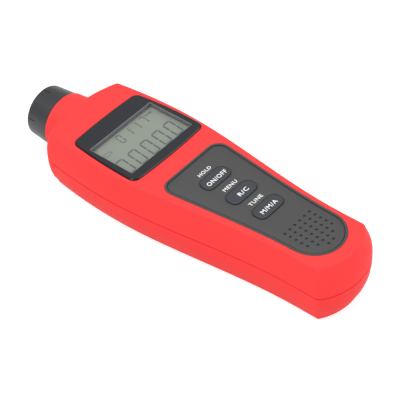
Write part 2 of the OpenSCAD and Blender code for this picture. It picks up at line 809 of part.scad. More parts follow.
cap_shoulder_y = nose_y - nose_window_sink - nose_window_t;
cap_inner_d = nose_window_d - 2 * window_shoulder;
spigot_y = neck_y - spigot_l;
module sensor_cap() {
    color([0.29, 0.29, 0.30])
        difference() {
            along_nose()
                difference() {
                    union() {
                        rotate_extrude()
                            polygon(concat(
                                [[0, neck_y], [cap_root_d / 2, neck_y]],
                                arc([cap_tip_d / 2 - cap_round, nose_y - cap_round], cap_round, 0, 90, edge_steps),
                                [[0, nose_y]]
                            ));
                        translate([0, 0, spigot_y])
                            cylinder(d = spigot_d, h = spigot_l + bond);
                        translate([0, 0, bead_y - bead_h])
                            cylinder(d = spigot_d + 2 * bead_h, h = 2 * bead_h);
                    }
                    translate([0, 0, spigot_y - past])
                        cylinder(d = cap_inner_d, h = overall_l);
                    translate([0, 0, cap_shoulder_y])
                        cylinder(d = nose_window_d + 2 * slip, h = overall_l);
                }
            for (i = [0:notch_count - 1])
                translate([0, nose_y - notch_l, nose_z])
                    rotate([0, i * 360 / notch_count, 0])
                        translate([-notch_w / 2, 0, cap_tip_d / 2 - notch_depth])
                            cube([notch_w, notch_l + past, cap_root_d]);
        }
}

module nose_window() {
    color([0.25, 0.08, 0.10])
        along_nose()
            translate([0, 0, cap_shoulder_y])
                cylinder(d = nose_window_d, h = nose_window_t);
}

holder_front_y = cap_shoulder_y - holder_gap;
holder_back_y = spigot_y - holder_flange_t;
laser_seat_y = holder_front_y - laser_l;
lens_seat_y = holder_front_y - lens_edge_t;
module optic_bores() {
    translate([-optic_offset, 0, holder_back_y - past])
        cylinder(d = laser_d - 2 * optic_lip, h = overall_l);
    translate([-optic_offset, 0, laser_seat_y])
        cylinder(d = laser_d + 2 * slip, h = overall_l);
    translate([optic_offset, 0, holder_back_y - past])
        cylinder(d = lens_d - 2 * optic_lip, h = overall_l);
    translate([optic_offset, 0, lens_seat_y])
        cylinder(d = lens_d + 2 * slip, h = overall_l);
}
module optics_holder() {
    color([0.10, 0.10, 0.11])
        along_nose()
            difference() {
                union() {
                    translate([0, 0, holder_back_y])
                        cylinder(d = cap_inner_d - 2 * slip, h = holder_front_y - holder_back_y);
                    translate([0, 0, holder_back_y])
                        cylinder(d = spigot_d, h = holder_flange_t);
                }
                optic_bores();
            }
}

module laser_module() {
    color([0.78, 0.62, 0.30])
        along_nose()
            translate([-optic_offset, 0, laser_seat_y])
                difference() {
                    cylinder(d = laser_d, h = laser_l);
                    translate([0, 0, laser_l - aperture_depth])
                        cylinder(d = laser_d - 2 * aperture_wall, h = aperture_depth + past);
                }
}

module receiver_lens() {
    dome_r = (pow(lens_d / 2, 2) + pow(lens_dome, 2)) / (2 * lens_dome);
    color([0.85, 0.90, 0.95])
        along_nose()
            translate([optic_offset, 0, lens_seat_y])
                intersection() {
                    cylinder(d = lens_d, h = lens_edge_t + lens_dome);
                    translate([0, 0, lens_edge_t + lens_dome - dome_r])
                        sphere(r = dome_r);
                }
}

module photodiode() {
    color([0.20, 0.20, 0.24])
        along_nose()
            translate([optic_offset, 0, holder_back_y]) {
                cylinder(d = diode_d, h = diode_l);
                translate([0, 0, diode_l])
                    sphere(d = diode_d);
            }
}

module sensor_board() {
    color([0.10, 0.42, 0.22])
        along_nose()
            translate([0, 0, holder_back_y - sensor_board_t])
                cylinder(d = spigot_d, h = sensor_board_t);
}

window_w = view_w + 2 * window_lap;
module display_bezel() {
    rings = [
        level(bezel_plan(0), bezel_seat_z),
        level(bezel_plan(0), bezel_top_z - bezel_bevel),
        level(bezel_plan(-bezel_bevel), bezel_top_z)
    ];
    color([0.16, 0.16, 0.17])
        difference() {
            loft(rings);
            slab(view_w, view_y0, view_y0 + view_l, bezel_seat_z - past, bezel_top_z + past);
            slab(window_w + 2 * slip, view_y0 - window_lap - slip, view_y0 + view_l + window_lap + slip,
                bezel_seat_z - past, window_top_z);
        }
}

module display_window() {
    color([0.85, 0.90, 0.92, 0.4])
        slab(window_w, view_y0 - window_lap, view_y0 + view_l + window_lap, bezel_seat_z, window_top_z);
}

glass_w = view_w + 2 * glass_lap_x;
glass_y0 = view_y0 - glass_lap_y;
glass_y1 = view_y0 + view_l + glass_lap_y;
module lcd_panel() {
    color([0.61, 0.64, 0.59])
        slab(glass_w, glass_y0, glass_y1, glass_z, glass_top_z);
}

module lcd_holder() {
    wall = holder_wall + slip;
    color([0.42, 0.42, 0.44])
        difference() {
            union() {
                slab(glass_w + 2 * wall, glass_y0 - wall, glass_y1 + wall, board_top_z, inner_top_z);
                slab(collar_w, view_y - collar_l / 2, view_y + collar_l / 2, board_top_z, bezel_seat_z);
            }
            slab(view_w, view_y0, view_y0 + view_l, board_top_z - past, body_h);
            slab(glass_w + 2 * slip, glass_y0 - slip, glass_y1 + slip, board_top_z - past, glass_top_z);
        }
}

module zebra_strips() {
    color([0.75, 0.55, 0.60])
        for (y = [glass_y0, glass_y1 - strip_w])
            slab(view_w, y, y + strip_w, board_top_z, glass_z);
}

module keypad_panel() {
    color([0.35, 0.35, 0.35])
        difference() {
            translate([0, 0, panel_seat_z])
                linear_extrude(height = panel_top_z - panel_seat_z)
                    polygon(panel_plan(0));
            translate([0, 0, field_z])
                linear_extrude(height = body_h)
                    polygon(panel_plan(-panel_rim_w));
            translate([0, 0, field_z - panel_groove_depth])
                linear_extrude(height = body_h)
                    difference() {
                        polygon(panel_plan(-panel_rim_w));
                        polygon(panel_plan(-panel_rim_w - panel_groove_w));
                    }
            key_holes();
            at_keys()
                translate([0, 0, field_z - key_moat_depth])
                    pill(key_l + 2 * key_moat_w, key_w + 2 * key_moat_w, key_corner_r + key_moat_w, body_h);
            sound_holes(hole_d);
        }
}

module key(i) {
    color([0.29, 0.31, 0.33])
        translate([0, key_y(i), 0]) {
            translate([0, 0, key_foot_z])
                pill(key_l + 2 * key_flange_w, key_w + 2 * key_flange_w, key_corner_r + key_flange_w, key_flange_t);
            translate([0, 0, key_foot_z])
                pill(key_l, key_w, key_corner_r, key_top_z - key_round - key_foot_z);
            translate([0, 0, key_top_z - key_round])
                pill(key_l - key_round, key_w - key_round, key_corner_r - key_round / 2, key_round);
        }
}

plunger_sink = key_travel + bond;
module plunger(i) {
    color([0.12, 0.12, 0.13])
        translate([0, key_y(i), switch_top_z - plunger_sink])
            cylinder(d = plunger_d, h = key_foot_z - switch_top_z + plunger_sink);
}

module switch_bodies() {
    color([0.70, 0.71, 0.72])
        at_keys()
            difference() {
                translate([-switch_w / 2, -switch_w / 2, board_top_z])
                    cube([switch_w, switch_w, switch_h]);
                translate([0, 0, switch_top_z - plunger_sink - key_travel - slip])
                    cylinder(d = plunger_d + 2 * slip, h = switch_h);
            }
}

board_lean = side_lean * (board_top_z - split_z) / (body_h - top_round - split_z);
module main_board() {
    inset = board_lean + wall_t + board_gap;
    color([0.10, 0.42, 0.22])
        difference() {
            intersection() {
                translate([0, 0, board_top_z - board_t])
                    linear_extrude(height = board_t)
                        polygon(casing_plan(inset, inset, inset, inset));
                slab(head_w, board_y0, board_y1, 0, body_h);
            }
            for (p = standoff_places)
                translate([p[0], p[1], 0])
                    cylinder(d = board_screw_d + 2 * slip, h = body_h);
        }
}

module controller_chip() {
    color([0.08, 0.08, 0.09])
        translate([-chip_w / 2, panel_y1 - chip_w, board_top_z - board_t - chip_t])
            cube([chip_w, chip_w, chip_t]);
}

buzzer_y = board_y0 + buzzer_d / 2 + board_gap;
module buzzer() {
    color([0.09, 0.09, 0.10])
        translate([0, buzzer_y, board_top_z])
            difference() {
                cylinder(d = buzzer_d, h = buzzer_h);
                translate([0, 0, buzzer_h - outlet_depth])
                    cylinder(d = outlet_d, h = outlet_depth + past);
            }
}

// Place of a battery across the bay, and +1 where its terminal points to the nose
function cell_x(i) = (i - (cell_count - 1) / 2) * (cell_d + cell_gap);
function cell_way(i) = i % 2 == 0 ? 1 : -1;
// Turns a shape that stands along +Z so that it lies in a battery's place, terminal end first,
// measured from the plate behind the terminal
module along_cell(i) {
    translate([cell_x(i), bay_y, cell_z])
        rotate([cell_way(i) * 90, 0, 0])
            translate([0, 0, -(bay_y1 - bay_y0) / 2 + plate_t])
                children();
}
module battery(i) {
    color([0.75, 0.62, 0.35])
        along_cell(i) {
            cylinder(d = terminal_d, h = terminal_h + bond);
            translate([0, 0, terminal_h])
                cylinder(d = cell_d, h = cell_l - terminal_h);
        }
}

// Conical coil along +Z: rings of a round wire carried along the turns
function coil_ring(t, sides) =
    let (r = mix(spring_tip_d, spring_root_d, t) / 2, a = 360 * spring_turns * t)
    let (z = mix(spring_wire_d / 2, spring_l - spring_wire_d / 2, t))
    [for (k = [0:sides - 1])
        let (b = -360 * k / sides, d = r + spring_wire_d / 2 * cos(b))
        [d * cos(a), d * sin(a), z + spring_wire_d / 2 * sin(b)]];
coil_steps = 12;
module battery_springs() {
    steps = round(coil_steps * spring_turns);
    color([0.80, 0.80, 0.82])
        for (i = [0:cell_count - 1])
            along_cell(i)
                translate([0, 0, cell_l])
                    loft([for (k = [0:steps]) coil_ring(k / steps, 6)]);
}

module battery_contacts() {
    color([0.80, 0.80, 0.82])
        for (i = [0:cell_count - 1], z = [-plate_t, cell_l + spring_l])
            along_cell(i)
                translate([-plate_w / 2, -plate_w / 2, z])
                    cube([plate_w, plate_w, plate_t]);
}

module housing_screws() {
    color([0.55, 0.56, 0.58])
        for (p = post_places)
            translate([p[0], p[1], screw_seat_z])
                difference() {
                    union() {
                        translate([0, 0, -screw_head_h])
                            cylinder(d = screw_head_d, h = screw_head_h);
                        cylinder(d = screw_d, h = screw_l);
                    }
                    for (turn = [0, 90])
                        rotate([0, 0, turn])
                            translate([-drive_w / 2, -drive_slot / 2, -screw_head_h - past])
                                cube([drive_w, drive_slot, past + drive_depth]);
                }
}

module board_screws() {
    color([0.55, 0.56, 0.58])
        for (p = standoff_places)
            translate([p[0], p[1], board_top_z - board_t]) {
                cylinder(d = board_screw_d, h = board_screw_l);
                translate([0, 0, -board_screw_head_h])
                    cylinder(d = board_screw_head_d, h = board_screw_head_h);
            }
}

front_housing();
rear_housing();
sensor_cap();
nose_window();
optics_holder();
laser_module();
receiver_lens();
photodiode();
sensor_board();
display_bezel();
display_window();
lcd_holder();
lcd_panel();
zebra_strips();
keypad_panel();
key(0);  // power_key
key(1);  // menu_key
key(2);  // tune_key
plunger(0);  // power_plunger
plunger(1);  // menu_plunger
plunger(2);  // tune_plunger
switch_bodies();
main_board();
controller_chip();
buzzer();
battery(0);  // battery_1
battery(1);  // battery_2
battery(2);  // battery_3
battery(3);  // battery_4
battery_springs();
battery_contacts();
battery_cover();
housing_screws();
board_screws();
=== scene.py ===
from functools import partial
from math import radians

import bmesh
import bpy
import numpy as np
from mathutils import Matrix, Vector
from mathutils.geometry import delaunay_2d_cdt


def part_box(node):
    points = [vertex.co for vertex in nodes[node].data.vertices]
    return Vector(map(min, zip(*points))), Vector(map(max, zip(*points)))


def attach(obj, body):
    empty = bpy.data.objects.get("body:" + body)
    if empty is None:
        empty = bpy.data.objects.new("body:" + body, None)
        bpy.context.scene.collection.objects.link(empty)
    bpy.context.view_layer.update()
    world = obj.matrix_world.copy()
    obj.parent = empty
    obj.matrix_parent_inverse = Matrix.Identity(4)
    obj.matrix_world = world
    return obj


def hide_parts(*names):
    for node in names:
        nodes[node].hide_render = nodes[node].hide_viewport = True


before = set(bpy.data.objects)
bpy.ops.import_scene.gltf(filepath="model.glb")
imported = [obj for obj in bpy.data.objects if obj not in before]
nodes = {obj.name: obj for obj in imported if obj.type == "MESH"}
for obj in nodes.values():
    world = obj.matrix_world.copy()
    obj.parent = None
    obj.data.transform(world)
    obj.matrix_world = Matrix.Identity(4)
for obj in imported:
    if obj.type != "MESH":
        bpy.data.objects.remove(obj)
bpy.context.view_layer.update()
scene = bpy.context.scene
scene.view_settings.view_transform = "Standard"
mm = 0.001
print("frame loaded:", len(nodes), "nodes")


def addObject(name, data):
    thing = bpy.data.objects.new(name, data)
    scene.collection.objects.link(thing)
    return thing


# Camera: the angles, distance and lens that line the casing up with the picture
cameraView = {
    "azimuth": -46.031, "elevation": 44.018, "roll": -4.968,  # degrees
    "distance": 715.081, "across": 2.261, "upward": 7.816,    # mm
    "focalPixels": 1575.317, "pictureWidth": 400,             # pixels
    "sensorWidth": 36, "nearest": 10,                         # mm
}


# Axes of the camera: back from azimuth and elevation, right level with the floor, up across
# both, then right and up turned by the roll
def placeCamera(view):
    az, el, roll = (np.radians(view[k]) for k in ("azimuth", "elevation", "roll"))
    back = np.array([np.sin(az) * np.cos(el), -np.cos(az) * np.cos(el), np.sin(el)])
    right = np.array([np.cos(az), np.sin(az), 0.0])
    up = np.cross(back, right)
    right, up = right * np.cos(roll) + up * np.sin(roll), up * np.cos(roll) - right * np.sin(roll)
    place = (back * view["distance"] + right * view["across"] + up * view["upward"]) * mm
    data = bpy.data.cameras.new("camera")
    data.sensor_width = view["sensorWidth"]
    data.lens = view["focalPixels"] / view["pictureWidth"] * view["sensorWidth"]
    data.clip_start = view["nearest"] * mm
    camera = addObject("camera", data)
    turn = np.eye(4)
    turn[:3] = np.column_stack([right, up, back, place])
    camera.matrix_world = Matrix(turn.tolist())
    scene.camera = camera


placeCamera(cameraView)
print("camera placed")

numberSocket = "NodeSocketFloat"
colourSocket = "NodeSocketColor"
midGrey = (0.5, 0.5, 0.5, 1)
white = (1, 1, 1, 1)


# sRGB steps of 0 to 255 as the linear colour that sockets take
def paint(r, g, b):
    c = np.array([r, g, b]) / 255
    c = np.where(c > 0.04045, ((c + 0.055) / 1.055) ** 2.4, c / 12.92)
    return (*c.tolist(), 1.0)


# New node group: inputs are (name, type, first value), outputs are (name, type)
def newGroup(name, inputs, outputs):
    group = bpy.data.node_groups.new(name, "ShaderNodeTree")
    for label, kind, value in inputs:
        socket = group.interface.new_socket(label, in_out="INPUT", socket_type=kind)
        socket.default_value = value
    for label, kind in outputs:
        group.interface.new_socket(label, in_out="OUTPUT", socket_type=kind)
    start = group.nodes.new("NodeGroupInput")
    end = group.nodes.new("NodeGroupOutput")
    return group, start.outputs, end.inputs


def setInputs(node, values):
    for key, value in values.items():
        node.inputs[key].default_value = value


# New node: each value goes to the property of its name, or else to the input of its name
def addNode(tree, kind, links=(), **values):
    node = tree.nodes.new(kind)
    for key, value in values.items():
        if hasattr(node, key):
            setattr(node, key, value)
        else:
            node.inputs[key].default_value = value
    for socket, source in links:
        tree.links.new(source, node.inputs[socket])
    return node


# Math node on sockets and plain numbers, given as its output
def maths(tree, operation, *operands):
    node = addNode(tree, "ShaderNodeMath", operation=operation)
    for socket, operand in zip(node.inputs, operands):
        if isinstance(operand, float):
            socket.default_value = operand
        else:
            tree.links.new(operand, socket)
    return node.outputs[0]


def scaledColour(tree, colour, factor):
    links = [(0, colour), ("Scale", factor)]
    return addNode(tree, "ShaderNodeVectorMath", links, operation="SCALE").outputs["Vector"]


def objectPlace(tree):
    return addNode(tree, "ShaderNodeTexCoord").outputs["Object"]


# Moulded grain: a fine noise for the skin of a moulding, as Height for a Bump node, and a broad
# noise that moves the colour's tone and the roughness to either side by their ranges
def makeGrainGroup():
    group, given, made = newGroup(
        "mouldedGrain",
        [("Grain Scale", numberSocket, 2600.0), ("Cloud Scale", numberSocket, 60.0),
         ("Colour", colourSocket, midGrey), ("Tone Range", numberSocket, 0.04),
         ("Gloss", numberSocket, 0.4), ("Gloss Range", numberSocket, 0.1)],
        [("Colour", colourSocket), ("Roughness", numberSocket), ("Height", numberSocket)])
    place = objectPlace(group)
    fine = addNode(group, "ShaderNodeTexNoise", [("Vector", place), ("Scale", given["Grain Scale"])],
                   Detail=3.0, Roughness=0.55)
    cloud = addNode(group, "ShaderNodeTexNoise", [("Vector", place), ("Scale", given["Cloud Scale"])],
                    Detail=4.0, Roughness=0.5)
    centred = maths(group, "SUBTRACT", cloud.outputs["Fac"], 0.5)
    tone = maths(group, "ADD", maths(group, "MULTIPLY", centred, given["Tone Range"]), 1.0)
    rough = maths(group, "MULTIPLY_ADD", centred, given["Gloss Range"], given["Gloss"])
    group.links.new(scaledColour(group, given["Colour"], tone), made["Colour"])
    group.links.new(rough, made["Roughness"])
    group.links.new(fine.outputs["Fac"], made["Height"])
    return group


grainGroup = makeGrainGroup()
grainDistance = 0.1 * mm  # height of the grain at full depth


# Principled material over the grain group; plain values sit on the shader's own sockets
def grainMaterial(name, colour, gloss, grain, depth,
                  cloud=60.0, toneRange=0.05, glossRange=0.1, **plain):
    material = bpy.data.materials.new(name)
    material.use_nodes = True
    tree = material.node_tree
    shader = tree.nodes["Principled BSDF"]
    group = addNode(tree, "ShaderNodeGroup", node_tree=grainGroup)
    setInputs(group, {"Grain Scale": grain, "Cloud Scale": cloud, "Colour": paint(*colour),
                      "Tone Range": toneRange, "Gloss": gloss, "Gloss Range": glossRange})
    bump = addNode(tree, "ShaderNodeBump", [("Height", group.outputs["Height"])],
                   Strength=depth, Distance=grainDistance)
    tree.links.new(group.outputs["Colour"], shader.inputs["Base Color"])
    tree.links.new(group.outputs["Roughness"], shader.inputs["Roughness"])
    tree.links.new(bump.outputs["Normal"], shader.inputs["Normal"])
    setInputs(shader, plain)
    return material


# Colour, gloss, scale of the grain, its depth, and what differs from the usual
finishTable = {
    "casingRed": ((253, 60, 60), 0.6, 2400, 0.12, {"Specular IOR Level": 0.2}),
    "capGrey": ((42, 43, 46), 0.4, 2400, 0.15, {"Specular IOR Level": 0.5}),
    "bezelBlack": ((36, 38, 42), 0.2, 1500, 0.03, {"Specular IOR Level": 0.35}),
    "panelGrey": ((69, 69, 69), 0.55, 2200, 0.2, {"Specular IOR Level": 0.35}),
    "keyRubber": ((56, 61, 66), 0.5, 2600, 0.1, {"Specular IOR Level": 0.35}),
    "whiteInk": ((240, 240, 240), 0.6, 3000, 0.1, {}),
    "lcdGlass": ((151, 159, 148), 0.4, 5000, 0.02, {"cloud": 40, "toneRange": 0.06}),
    "lcdInk": ((96, 103, 106), 0.5, 3000, 0.02, {}),
    "holderGrey": ((112, 113, 118), 0.55, 2000, 0.1, {}),
    # a lighter copy of holderGrey: painted light on the upper part of the view opening's wall
    "surroundLitGrey": ((122, 123, 128), 0.5, 2000, 0.1, {}),
    # the pane's edge, its pale grey partly a painted highlight along the view opening
    "paneEdgeHighlight": ((118, 118, 118), 0.3, 2000, 0.05, {}),
    # painted shade for the groove between the shells
    "partingPaintedShade": ((222, 6, 8), 0.8, 1500, 0.1, {"Specular IOR Level": 0.0}),
    "blackPlastic": ((38, 38, 40), 0.5, 2000, 0.2, {}),
    "stripRubber": ((214, 120, 150), 0.6, 1500, 0.2, {}),
    "boardGreen": ((30, 96, 58), 0.35, 900, 0.1, {"cloud": 300, "toneRange": 0.3}),
    "steel": ((196, 196, 200), 0.3, 1800, 0.1, {"Metallic": 1.0}),
    "brass": ((206, 172, 100), 0.28, 1800, 0.1, {"Metallic": 1.0}),
    "cellWrap": ((44, 92, 66), 0.3, 1200, 0.05, {}),
    "filterGlass": ((60, 12, 14), 0.06, 900, 0.01, {"glossRange": 0.02}),
    "lensGlass": ((225, 232, 236), 0.04, 900, 0.01, {"glossRange": 0.02}),
    "windowGlass": ((30, 31, 33), 0.06, 900, 0.0, {"glossRange": 0.02, "Alpha": 0.08}),
}
finishes = {name: grainMaterial(name, *row, **more) for name, (*row, more) in finishTable.items()}


# Puts a group that takes and gives a colour between a grain material's colour and its shader
def recolour(material, colourGroup, values):
    tree = material.node_tree
    base = tree.nodes["Principled BSDF"].inputs["Base Color"]
    links = [("Colour", base.links[0].from_socket)]
    group = addNode(tree, "ShaderNodeGroup", links, node_tree=colourGroup)
    setInputs(group, values)
    tree.links.new(group.outputs["Colour"], base)


# Painted low shade: below one height the colour is scaled down by the shade, and it eases back to the
# full colour at another
def makePaintedShadeGroup():
    group, given, made = newGroup(
        "paintedLowShade",
        [("Colour", colourSocket, midGrey), ("Height", numberSocket, 0.0),
         ("Full Height", numberSocket, 0.001), ("Shade", numberSocket, 0.3)],
        [("Colour", colourSocket)])
    height = addNode(group, "ShaderNodeSeparateXYZ", [("Vector", objectPlace(group))]).outputs["Z"]
    scale = addNode(group, "ShaderNodeMapRange", [
        ("Value", height), ("From Min", given["Height"]), ("From Max", given["Full Height"]),
        ("To Min", given["Shade"])]).outputs["Result"]
    group.links.new(scaledColour(group, given["Colour"], scale), made["Colour"])
    return group


# Painted shade on the bezel: its chamfer and side wall below the top's edge are darkened to stand for
# the dark surroundings they reflect
bezelPaintedShade = {"Height": 33.36 * mm, "Full Height": 33.39 * mm, "Shade": 0.2}
recolour(finishes["bezelBlack"], makePaintedShadeGroup(), bezelPaintedShade)


# Wrap rings: two rings, each a set distance from the middle along Y. The ring's colour shows
# where the distance from the ring's own middle is under its half width.
def makeRingGroup():
    group, given, made = newGroup(
        "wrapRings",
        [("Colour", colourSocket, midGrey), ("Ring Colour", colourSocket, white),
         ("Middle", numberSocket, 0.0), ("Reach", numberSocket, 0.018),
         ("Half Width", numberSocket, 0.001)],
        [("Colour", colourSocket)])
    along = addNode(group, "ShaderNodeSeparateXYZ", [("Vector", objectPlace(group))]).outputs["Y"]
    fromMiddle = maths(group, "ABSOLUTE", maths(group, "SUBTRACT", along, given["Middle"]))
    fromRing = maths(group, "ABSOLUTE", maths(group, "SUBTRACT", fromMiddle, given["Reach"]))
    mask = maths(group, "LESS_THAN", fromRing, given["Half Width"])
    links = [(0, mask), (6, given["Colour"]), (7, given["Ring Colour"])]  # factor and two colours
    mixed = addNode(group, "ShaderNodeMix", links, data_type="RGBA")
    group.links.new(mixed.outputs[2], made["Colour"])  # the mixed colour
    return group


cellRings = {"colour": (196, 202, 196), "fromEnd": 5.0, "halfWidth": 0.8}


# The rings' places come from the cell's own box
def ringWrap(material, plan):
    low, high = (corner[1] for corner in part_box("battery_1"))
    recolour(material, makeRingGroup(), {
        "Ring Colour": paint(*plan["colour"]), "Middle": (low + high) / 2,
        "Reach": (high - low) / 2 - plan["fromEnd"] * mm, "Half Width": plan["halfWidth"] * mm})


ringWrap(finishes["cellWrap"], cellRings)
print("finishes made:", len(finishes))

nodeFinish = {
    "front_housing": "casingRed", "rear_housing": "casingRed", "battery_cover": "casingRed",
    "sensor_cap": "capGrey", "nose_window": "filterGlass", "optics_holder": "blackPlastic",
    "laser_module": "brass", "receiver_lens": "lensGlass", "photodiode": "blackPlastic",
    "sensor_board": "boardGreen", "display_bezel": "bezelBlack", "display_window": "windowGlass",
    "lcd_holder": "holderGrey", "lcd_panel": "lcdGlass", "zebra_strips": "stripRubber",
    "keypad_panel": "panelGrey", "power_key": "keyRubber", "menu_key": "keyRubber",
    "tune_key": "keyRubber", "power_plunger": "blackPlastic", "menu_plunger": "blackPlastic",
    "tune_plunger": "blackPlastic", "switch_bodies": "steel", "main_board": "boardGreen",
    "controller_chip": "blackPlastic", "buzzer": "blackPlastic", "battery_1": "cellWrap",
    "battery_2": "cellWrap", "battery_3": "cellWrap", "battery_4": "cellWrap",
    "battery_springs": "steel", "battery_contacts": "brass", "housing_screws": "steel",
    "board_screws": "steel",
}
for name, node in nodes.items():
    node.data.materials.clear()
    node.data.materials.append(finishes[nodeFinish[name]])
print("finishes given to the nodes")

weldDistance = 2e-6  # m, corners closer than this become one


# Piece from a mesh: its corners merged, faces smooth, edges past the angle kept sharp
def smoothPiece(name, mesh, sharp):
    work = bmesh.new()
    work.from_mesh(mesh)
    bmesh.ops.remove_doubles(work, verts=work.verts, dist=weldDistance)
    work.to_mesh(mesh)
    work.free()
    mesh.polygons.foreach_set("use_smooth", np.ones(len(mesh.polygons), bool))
    mesh.set_sharp_from_angle(angle=radians(sharp))
    return addObject(name, mesh)


def settle(piece, body, slot, *standsFor):
    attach(piece, body)
    if standsFor:
        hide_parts(*standsFor)


# Smooth copy of a node, with normals weighted by face area so that flat faces stay flat beside
# rounded edges
def smoothCopy(name, node, body, slot, sharp=32):
    mesh = nodes[node].data.copy()
    mesh.name = name
    if "custom_normal" in mesh.attributes:
        mesh.attributes.remove(mesh.attributes["custom_normal"])  # they hide the true angles
    piece = smoothPiece(name, mesh, sharp)
    weighted = piece.modifiers.new("weighted", "WEIGHTED_NORMAL")
    weighted.keep_sharp = True
    settle(piece, body, slot, node)


# One piece from several (points in mm, faces) patches; corners that touch are merged
def surfacePiece(name, patches, finish, body, slot, *standsFor, sharp=40):
    starts = np.cumsum([0] + [len(points) for points, _ in patches])
    points = np.concatenate([points for points, _ in patches]) * mm
    faces = [[i + start for i in face]
             for (_, group), start in zip(patches, starts) for face in group]
    mesh = bpy.data.meshes.new(name)
    mesh.from_pydata(points.tolist(), [], faces)
    mesh.materials.append(finishes[finish])
    settle(smoothPiece(name, mesh, sharp), body, slot, *standsFor)


# Skin over rows of points, each row a closed loop seen anticlockwise from above; the
# face's normal is loop direction x row direction. A ring joins the last row to the first.
def gridPatch(rows, ring=False):
    rows = np.asarray(rows)
    count, width = rows.shape[:2]
    r = np.arange(count if ring else count - 1)[:, None]
    c = np.arange(width)[None, :]
    here, there, beside = r * width, (r + 1) % count * width, (c + 1) % width
    quads = np.broadcast_arrays(here + c, here + beside, there + beside, there + c)
    return rows.reshape(-1, 3), np.stack(quads, -1).reshape(-1, 4).tolist()


def atHeight(loop, height):
    return np.column_stack([loop, np.full(len(loop), height)])


# One face that closes a loop, looking up or down
def lidPatch(loop, height, up=True):
    order = list(range(len(loop)))
    return atHeight(loop, height), [order if up else order[::-1]]


# Rows of a loop family: each step of the profile is (offset of the loop, height)
def profileRows(loopAt, profile):
    return [atHeight(loopAt(offset), height) for offset, height in profile]


# Closed solid of a loop family: the skin along its profile, a lid at its foot and one at its top
def solidPatches(loopAt, profile):
    (footOffset, foot), (topOffset, top) = profile[0], profile[-1]
    return [gridPatch(profileRows(loopAt, profile)),
            lidPatch(loopAt(footOffset), foot, up=False), lidPatch(loopAt(topOffset), top)]


# Ring of a loop family: a closed profile carried round the loop
def ringPatches(loopAt, profile):
    return [gridPatch(profileRows(loopAt, profile), ring=True)]


# Quarter round of a profile, from the wall at its foot to the flat at its top: the radius times
# 1 - cosine inwards, and the radius times 1 - sine below the top
def quarterRound(radius, top, steps, start=0.0):
    a = np.radians(np.linspace(0, 90, steps))
    return list(zip(start + radius * (1 - np.cos(a)), top - radius * (1 - np.sin(a))))


# Points round an arc: the centre plus the radius times cosine and sine, from degrees to degrees
def arcPoints(centre, radius, start, end, count):
    a = np.radians(np.linspace(start, end, count))
    return np.column_stack([centre[0] + radius * np.cos(a), centre[1] + radius * np.sin(a)])


# Whole circle as a loop: an arc of 360 degrees without its last point
def circleLoop(centre, count, radius):
    return arcPoints(centre, radius, 0, 360, count + 1)[:-1]


# Points along a line: the start times 1 - t plus the end times t
def linePoints(start, end, count):
    t = np.linspace(0, 1, count)[:, None]
    return np.array(start) * (1 - t) + np.array(end) * t


def bearing(centre, point):
    return np.degrees(np.arctan2(point[1] - centre[1], point[0] - centre[0]))


# Crossing of two circles, on the left of the way from the first centre to the second
def meetCircles(centre1, radius1, centre2, radius2):
    centre1, centre2 = np.array(centre1), np.array(centre2)
    apart = np.linalg.norm(centre2 - centre1)
    way = (centre2 - centre1) / apart
    along = (radius1 ** 2 - radius2 ** 2 + apart ** 2) / (2 * apart)
    return centre1 + along * way + np.sqrt(radius1 ** 2 - along ** 2) * np.array([-way[1], way[0]])


# Whole loop from its right half, given as stretches from the nose side to the tail side
def wholeLoop(stretches):
    half = np.concatenate([stretches[0]] + [stretch[1:] for stretch in stretches[1:]])
    return np.concatenate([half, half[-2:0:-1] * (-1, 1)])[::-1]


leastRadius = 0.02  # mm, so that a shrunk bar keeps its corners


# Rounded bar centred on a point, as a loop grown by an offset; counts are the points along
# half an end, round a corner and along a side
def barLoop(length, width, radius, centre, offset, counts):
    hx, hy, r = length / 2 + offset, width / 2 + offset, max(radius + offset, leastRadius)
    end, corner, side = counts
    loop = wholeLoop([
        linePoints((0, hy), (hx - r, hy), end), arcPoints((hx - r, hy - r), r, 90, 0, corner),
        linePoints((hx, hy - r), (hx, r - hy), side), arcPoints((hx - r, r - hy), r, 0, -90, corner),
        linePoints((hx - r, -hy), (0, -hy), end)])
    return loop + np.array(centre)


# Edges that join each point of a loop to the next, numbered from a start
def loopEdges(loop, start):
    order = np.arange(len(loop))
    return np.column_stack([order, np.roll(order, -1)]) + start


insideOnly = 1  # the triangulation's way of keeping what the loops enclose
sameCorner = 1e-6  # mm


# Flat sheet inside a loop and round its holes, as a constrained triangulation
def sheetPatch(outer, holes, height, up=True):
    loops = [outer, *holes]
    starts = np.cumsum([0] + [len(loop) for loop in loops])
    edges = np.concatenate([loopEdges(loop, start) for loop, start in zip(loops, starts)])
    corners, _, faces, *_ = delaunay_2d_cdt(
        np.concatenate(loops).tolist(), edges.tolist(), [], insideOnly, sameCorner)
    corners, faces = np.array(corners), np.array(faces)
    middles = corners[faces].mean(axis=1)
    kept = np.ones(len(faces), bool)
    for hole in holes:
        kept &= ~insideLoop(middles, hole)
    faces = faces[kept] if up else faces[kept][:, ::-1]
    return atHeight(corners, height), faces.tolist()


# Even-odd test: a point is inside where a ray along +X crosses the loop an odd number of times
def insideLoop(points, loop):
    a, b = loop[None], np.roll(loop, -1, axis=0)[None]
    p = points[:, None]
    spans = (a[..., 1] > p[..., 1]) != (b[..., 1] > p[..., 1])
    rise = np.where(b[..., 1] == a[..., 1], 1.0, b[..., 1] - a[..., 1])
    crossing = a[..., 0] + (p[..., 1] - a[..., 1]) / rise * (b[..., 0] - a[..., 0])
    return (spans & (p[..., 0] < crossing)).sum(axis=1) % 2 == 1


# Casing: both shells and the battery cover, smooth over the frame's own solids
casing = {
    "headWidth": 55.7, "gripWidth": 37.9, "frontEnd": 72.4, "widestAt": 27.65, "gripAt": -71.35,
    "tailEnd": -92.0, "frontRadius": 63.0, "sideRadius": 260.0, "tailRadius": 29.0,
    "frontCorner": 4.3, "tailCorner": 4.2, "partingHeight": 17.2,
    "arcCount": 24, "cornerCount": 14, "flankCount": 60,
}


